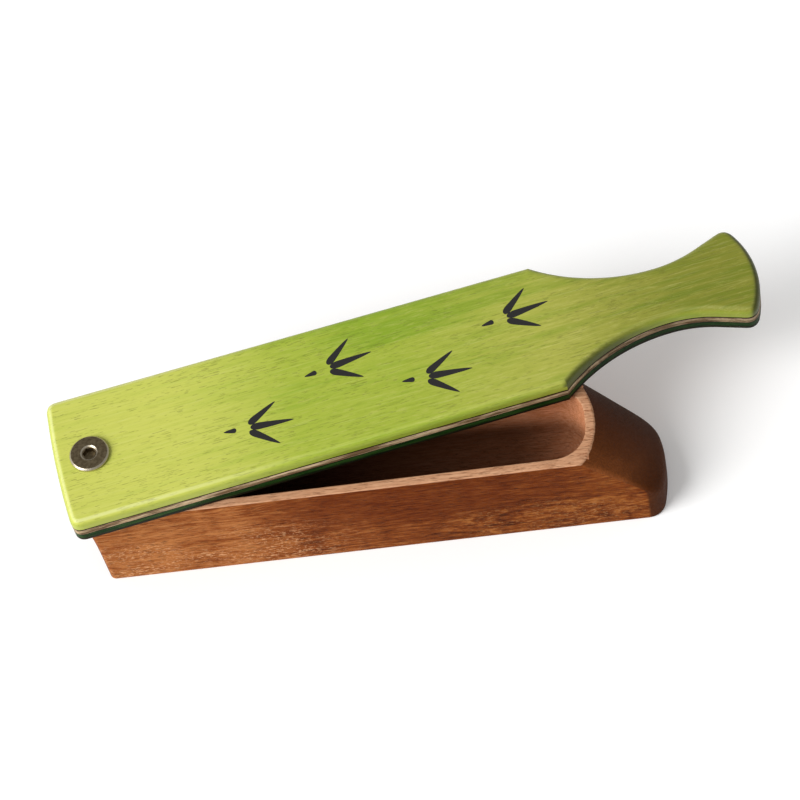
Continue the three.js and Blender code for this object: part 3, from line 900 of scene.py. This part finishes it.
def lid_outline():
    neck_centre = Vector((NECK_X, NECK_HALF_WIDTH + NECK_RADIUS))
    flare_centre = Vector((NECK_X, NECK_HALF_WIDTH + FLARE_RADIUS))
    end_centre = Vector((HANDLE_END_X - HANDLE_END_RADIUS, 0))
    flare_angle = math.asin((FLARE_STRAIGHT_X - NECK_X) / FLARE_RADIUS)
    shoulder_angle = math.asin((NECK_X - SHOULDER_X) / NECK_RADIUS)
    flare = arc(flare_centre, FLARE_RADIUS, flare_angle - RIGHT_ANGLE, -RIGHT_ANGLE)
    neck = arc(neck_centre, NECK_RADIUS, -RIGHT_ANGLE, -RIGHT_ANGLE - shoulder_angle)
    slope = math.tan(flare_angle)
    corner = line_meets_circle(flare[0], slope, end_centre.x, HANDLE_END_RADIUS, 1)
    end_angle = math.asin(corner.y / HANDLE_END_RADIUS) - HANDLE_CORNER / HANDLE_END_RADIUS
    end = arc(end_centre, HANDLE_END_RADIUS, 0, end_angle)
    handle_ease = eased_corner(end[-1], corner, flare[0], HANDLE_CORNER)
    shoulder = neck[-1]
    tail_centre = Vector((LID_TAIL_X + LID_TAIL_RADIUS, 0))
    side_slope = (shoulder.y - LID_TAIL_HALF_WIDTH) / (shoulder.x - LID_TAIL_X)
    tail_corner = line_meets_circle(shoulder, side_slope, tail_centre.x, LID_TAIL_RADIUS, -1)
    tail_angle = math.asin((tail_corner.y - LID_TAIL_CORNER) / LID_TAIL_RADIUS)
    tail = arc(tail_centre, LID_TAIL_RADIUS, math.pi - tail_angle, math.pi)
    tail_ease = eased_corner(shoulder, tail_corner, tail[0], LID_TAIL_CORNER)
    return mirrored([
        *end[:-1],
        *handle_ease[:-1],
        *straight(handle_ease[-1], flare[0])[:-1],
        *flare[:-1],
        *neck,
        *straight(shoulder, tail_ease[0])[1:-1],
        *tail_ease[:-1],
        *tail,
    ])


def circle(radius, z):
    ring = arc(Vector((0, 0)), radius, 0, FULL_TURN, FULL_TURN * radius / TURN_STEPS)
    return lifted(ring[:-1], z)


def halves(outer, ring):
    """The flat face between an outline and the ring of a hole inside it, as two faces that meet
    along the X axis."""
    for sign in (1, -1):
        rim = [v for v in outer if sign * v.co.y > -MERGE_DISTANCE]
        hole = [v for v in ring if sign * v.co.y > -MERGE_DISTANCE]
        rim.sort(key=lambda v: outer.index(v) if sign > 0 else -outer.index(v) % len(outer))
        hole.sort(key=lambda v: ring.index(v) if sign > 0 else -ring.index(v) % len(ring))
        yield [*rim, *reversed(hole)]


def plate(levels, hole):
    """A ply in the lid's own frame: its outline at each (inset, z), with a stepped hole at the
    pivot, given as (radius, z) from the top down."""
    bm = bmesh.new()
    outline = lid_outline()
    first, last = levels[0], levels[-1]
    levels = [(first[0] + END_SUPPORT, first[1]), *levels, (last[0] + END_SUPPORT, last[1])]
    bottom, top = loft(bm, [lifted(inset(outline, away), z) for away, z in levels])
    mouth, exit_ring = loft(bm, [circle(radius, z) for radius, z in hole])
    for outer, ring in ((top, mouth), (bottom, exit_ring)):
        for half in halves(outer, ring):
            bm.faces.new(half)
    return bm


def ply_levels(node):
    low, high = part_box(node)
    return low.z - LID_BOTTOM, high.z - LID_BOTTOM


def plain_hole(bottom, top):
    return [(LID_HOLE_RADIUS, top), (LID_HOLE_RADIUS, bottom)]


def lid():
    matrix = Matrix.Translation((0, 0, LID_BOTTOM)) @ Matrix.Rotation(LID_YAW, 4, "Z")
    glue_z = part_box("lid_green_ply")[1].z / MM - 0.35
    green = veneer("green_ply", linear(16, 44, 12), linear(46, 76, 30), 0.42, glued_from=glue_z)
    tan = veneer("tan_ply", linear(124, 98, 70), linear(214, 190, 154))
    tan_lower = veneer("tan_ply_lower", linear(104, 80, 56), linear(190, 164, 128))
    glue = veneer("dark_glue", linear(26, 17, 8), linear(58, 42, 20), 0.45)
    plies = {
        "lid_green_ply": ("green_ply", green),
        "lid_tan_ply_lower": ("tan_ply", tan_lower),
        "lid_tan_ply_upper": ("tan_ply", tan),
        "lid_glue_line": ("dark_glue", glue),
    }
    for node, (slot, material) in plies.items():
        bottom, top = ply_levels(node)
        bm = plate([(0, bottom), (0, top)], plain_hole(bottom, top))
        piece(f"{node}_fine", bm, "lid", node, slot, material, matrix)

    bottom, top = ply_levels("lid_striker_ply")
    levels = [*rounded_edge(LID_BOTTOM_ROUND, bottom, 1), (0, top)]
    bm = plate(levels, plain_hole(bottom, top))
    piece("lid_striker_ply_fine", bm, "lid", "lid_striker_ply", "brown_ply", shaded_chalked_ply(), matrix)

    bottom, top = ply_levels("lid_face_ply")
    levels = [(0, bottom), *reversed(rounded_edge(LID_TOP_ROUND, top, -1))]
    shelf = top - RECESS_DEPTH
    hole = [(RECESS_RADIUS, top), (RECESS_RADIUS, shelf), *plain_hole(bottom, shelf)]
    bm = plate(levels, hole)
    piece("lid_face_ply_fine", bm, "lid", "lid_face_ply", "lime_face", lime_face(), matrix)
    lid_print(matrix, top)


# ---- The print on the lid: a trail of three-toed bird tracks, which carries no lettering ----

TRACK_LENGTH = 24 * MM
TRACK_PITCH = 31 * MM
TRACK_START_X = 52 * MM
TRACK_OFFSET = 7.0 * MM  # of the left and right feet from the trail's middle
TRACK_COUNT = 4
INK_THICKNESS = 0.03 * MM
TOE_STEPS = 26
TOE_SPREAD = 0.62
TRACK_TURN = 0.10


def toe(root, angle, length, width):
    """A long toe: round at its root, widest in its first third, and drawn out to a claw."""
    heading = Vector((math.cos(angle), math.sin(angle)))
    left = Vector((-heading.y, heading.x))
    side = []
    for i in range(TOE_STEPS + 1):
        share = (1 - math.cos(math.pi * i / TOE_STEPS)) / 2
        root_round = math.sqrt(max(0, 1 - (1 - min(share / 0.22, 1)) ** 2))
        half = 0.5 * width * root_round * (1 - share) ** 0.6
        side.append((share, half))
    outline = [root + heading * (length * s) - left * h for s, h in side]
    outline += [root + heading * (length * s) + left * h for s, h in reversed(side[1:-1])]
    return outline


def track(middle, heading):
    """The toes of one foot: three in front and a short one behind, with gaps between them."""
    toes = []
    shapes = (
        (0, 0.62, 0.13),
        (TOE_SPREAD, 0.50, 0.125),
        (-TOE_SPREAD, 0.50, 0.125),
        (math.pi, 0.18, 0.09),
    )
    for turn, share, width in shapes:
        angle = heading + turn
        root = middle + Vector((math.cos(angle), math.sin(angle))) * (0.10 * TRACK_LENGTH)
        toes.append(toe(root, angle, share * TRACK_LENGTH, width * TRACK_LENGTH))
    return toes


def lid_print(matrix, top):
    bm = bmesh.new()
    for i in range(TRACK_COUNT):
        side = 1 if i % 2 else -1
        middle = Vector((TRACK_START_X + TRACK_PITCH * i, side * TRACK_OFFSET))
        for outline in track(middle, side * TRACK_TURN):
            levels = [top - 0.5 * INK_THICKNESS, top + INK_THICKNESS]
            for ring in loft(bm, [lifted(outline, z) for z in levels]):
                bm.faces.new(ring)
    piece("lid_print", bm, "lid", None, "black_print", ink(), matrix)


# ======== Pivot hardware ========


def eased_profile(profile, distance):
    """A turned profile whose corners are eased by a distance; its ends stay on the axis."""
    points = [Vector(p) for p in profile]
    eased = [points[0]]
    for before, corner, after in zip(points, points[1:], points[2:]):
        reach = min(distance, 0.4 * (corner - before).length, 0.4 * (after - corner).length)
        eased += eased_corner(before, corner, after, reach, SMALL_EASE_STEPS)
    return [tuple(p) for p in [*eased, points[-1]]]


def ring_solid(profile):
    """A closed ring from a profile that closes on itself."""
    bm = bmesh.new()
    loft(bm, turned([*profile, profile[0]]))
    return bm


def washer(name, node, body, slot, material):
    """A washer as its CAD node is, with its edges eased."""
    low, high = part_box(node)
    inner = SHANK_RADIUS + FIT_GAP
    outer = high.x
    square = [(inner, low.z), (outer, low.z), (outer, high.z), (inner, high.z)]
    closed = [square[-1], *square, square[0]]
    profile = []
    for before, corner, after in zip(closed, closed[1:], closed[2:]):
        corners = Vector(before), Vector(corner), Vector(after)
        profile += eased_corner(*corners, WASHER_EASE, SMALL_EASE_STEPS)
    piece(name, ring_solid([tuple(p) for p in profile]), body, node, slot, material)


def thread(radius, depth, pitch):
    """The radius of a helical thread at each angle, for one height."""

    def ring(z):
        def at_angle(angle):
            phase = (z / pitch - angle / FULL_TURN) % 1
            return radius - depth * (1 - abs(2 * phase - 1))

        return at_angle

    return ring


def bolt(material):
    low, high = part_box("pivot_bolt")
    head_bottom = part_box("head_washer")[1].z
    head_top = high.z
    across = SOCKET_ACROSS_FLATS / 2
    thread_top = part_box("threaded_insert")[1].z + 1 * MM
    shape = thread(SHANK_RADIUS, THREAD_DEPTH, THREAD_PITCH)

    def hexagon(angle):
        sixth = FULL_TURN / 6
        return across / math.cos((angle % sixth) - sixth / 2)

    tip = [
        (0, low.z),
        (SHANK_RADIUS - BOLT_TIP, low.z),
        (SHANK_RADIUS - THREAD_DEPTH, low.z + 0.5 * MM),
    ]
    rings = math.ceil((thread_top - low.z) / THREAD_PITCH * THREAD_STEPS)
    heights = spread(low.z + BOLT_TIP, thread_top, rings)
    threaded = [(shape(z), z) for z in heights]
    head = eased_profile([
        (SHANK_RADIUS, head_bottom - 1 * MM),
        (SHANK_RADIUS, head_bottom),
        (HEAD_RADIUS, head_bottom),
        (HEAD_RADIUS, head_top - HEAD_CHAMFER),
        (HEAD_RADIUS - HEAD_CHAMFER, head_top),
        (SINK_RADIUS, head_top),
        (across * 1.2, head_top - SINK_DEPTH),
    ], HEAD_EASE)
    socket_floor = head_top - SOCKET_DEPTH
    socket = [
        (hexagon, head_top - SINK_DEPTH - 0.05 * MM),
        (hexagon, socket_floor),
        (across * 0.85, socket_floor),
        (0, socket_floor - 0.6 * MM),
    ]
    profile = [*tip, *threaded, (SHANK_RADIUS, thread_top + 0.3 * MM), *head, *socket]
    bm = solid(turned(profile))
    piece("pivot_bolt_fine", bm, "bolt", "pivot_bolt", "bolt_bronze", material)


def insert(material):
    low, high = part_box("threaded_insert")
    outside = thread(INSERT_RADIUS, INSERT_THREAD_DEPTH, INSERT_PITCH)
    heights = spread(low.z + 0.3 * MM, high.z - 0.9 * MM, INSERT_RINGS)
    flange = [(INSERT_RADIUS, high.z - 0.8 * MM), (INSERT_RADIUS, high.z)]
    bore = [(INSERT_BORE_RADIUS, high.z), (INSERT_BORE_RADIUS, low.z)]
    foot = [(INSERT_RADIUS - 0.8 * MM, low.z), (INSERT_RADIUS - 0.7 * MM, low.z + 0.3 * MM)]
    profile = [*foot, *[(outside(z), z) for z in heights], *flange, *bore]
    bm = ring_solid(profile)
    piece("threaded_insert_fine", bm, "box", "threaded_insert", "insert_brass", material)


def spring(material):
    low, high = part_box("pivot_spring")
    bottom = low.z + SPRING_WIRE_RADIUS
    top = high.z - SPRING_WIRE_RADIUS
    steps = SPRING_STEPS * math.ceil(SPRING_TURNS)
    loops = []
    for i in range(steps + 1):
        share = i / steps
        angle = FULL_TURN * SPRING_TURNS * share
        outward = Vector((math.cos(angle), math.sin(angle), 0))
        centre = outward * SPRING_MEAN_RADIUS + Vector((0, 0, bottom + (top - bottom) * share))
        ring = []
        for k in range(WIRE_STEPS):
            turn = FULL_TURN * k / WIRE_STEPS
            around = math.cos(turn) * outward + math.sin(turn) * UP
            ring.append(centre + SPRING_WIRE_RADIUS * around)
        loops.append(ring)
    piece("pivot_spring_fine", solid(loops), "box", "pivot_spring", "spring_steel", material)


def hardware():
    sink, chamfer = SINK_RADIUS / MM, (HEAD_RADIUS - HEAD_CHAMFER) / MM
    rings = [(sink - 0.35, sink + 0.1), (chamfer, HEAD_RADIUS / MM + 1)]
    plating = linear(106, 93, 70), linear(138, 124, 98)
    bronze = metal("bolt_bronze", *plating, 0.36, linear(206, 196, 176), rings)
    zinc = metal("washer_steel", linear(150, 150, 148), linear(190, 190, 186), 0.34)
    wire = metal("spring_steel", linear(120, 120, 124), linear(160, 160, 164), 0.28)
    brass = metal("insert_brass", linear(176, 142, 76), linear(206, 172, 100), 0.32)
    bolt(bronze)
    washer("head_washer_fine", "head_washer", "head_washer", "washer_steel", zinc)
    washer("thrust_washer_fine", "thrust_washer", "thrust_washer", "washer_steel", zinc)
    washer("spring_seat_fine", "spring_seat", "box", "washer_steel", zinc)
    spring(wire)
    insert(brass)


# ======== Stage ========

CAMERA_AT = Vector((205.77, -522.46, 892.48)) * MM
CAMERA_AIM = Vector((102.31, 24.96, 25.7)) * MM
CAMERA_ROLL = math.radians(-15.09)
CAMERA_LENS = 135
CAMERA_SENSOR = 36
CAMERA_NEAREST = 0.01

KEY_TOWARDS = Vector((-0.80, -0.45, 0.70))  # the way to the light
KEY_STRENGTH = 3.45
KEY_SOFTNESS = math.radians(40)
KEY_DISTANCE = 2
WORLD_STRENGTH = 0.40
FLOOR_REACH = 8
FLOOR_GLOW = 0.16  # a sweep lit a little from below


def camera():
    data = bpy.data.cameras.new("camera")
    data.lens = CAMERA_LENS
    data.sensor_width = CAMERA_SENSOR
    data.clip_start = CAMERA_NEAREST
    obj = bpy.data.objects.new("camera", data)
    level = (CAMERA_AIM - CAMERA_AT).to_track_quat("-Z", "Y").to_matrix().to_4x4()
    obj.matrix_world = Matrix.Translation(CAMERA_AT) @ level @ Matrix.Rotation(CAMERA_ROLL, 4, "Z")
    bpy.context.scene.collection.objects.link(obj)
    bpy.context.scene.camera = obj


def key_light():
    data = bpy.data.lights.new("key", "SUN")
    data.energy = KEY_STRENGTH
    data.angle = KEY_SOFTNESS
    obj = bpy.data.objects.new("key", data)
    obj.rotation_mode = "QUATERNION"
    obj.rotation_quaternion = KEY_TOWARDS.to_track_quat("Z", "Y")
    obj.location = KEY_TOWARDS.normalized() * KEY_DISTANCE
    bpy.context.scene.collection.objects.link(obj)


def stage():
    mesh = bpy.data.meshes.new("studio_floor")
    signs = (-1, -1), (1, -1), (1, 1), (-1, 1)
    corners = [(FLOOR_REACH * a, FLOOR_REACH * b, 0) for a, b in signs]
    mesh.from_pydata(corners, [], [(0, 1, 2, 3)])
    mesh.materials.append(paper_floor())
    floor = bpy.data.objects.new("studio_floor", mesh)
    bpy.context.scene.collection.objects.link(floor)
    key_light()
    world = bpy.data.worlds.new("studio")
    world.use_nodes = True
    background = world.node_tree.nodes["Background"]
    background.inputs["Color"].default_value = (1, 1, 1, 1)
    background.inputs["Strength"].default_value = WORLD_STRENGTH
    bpy.context.scene.world = world
    bpy.context.scene.view_settings.view_transform = "Standard"


camera()
stage()
sound_box()
lid()
hardware()
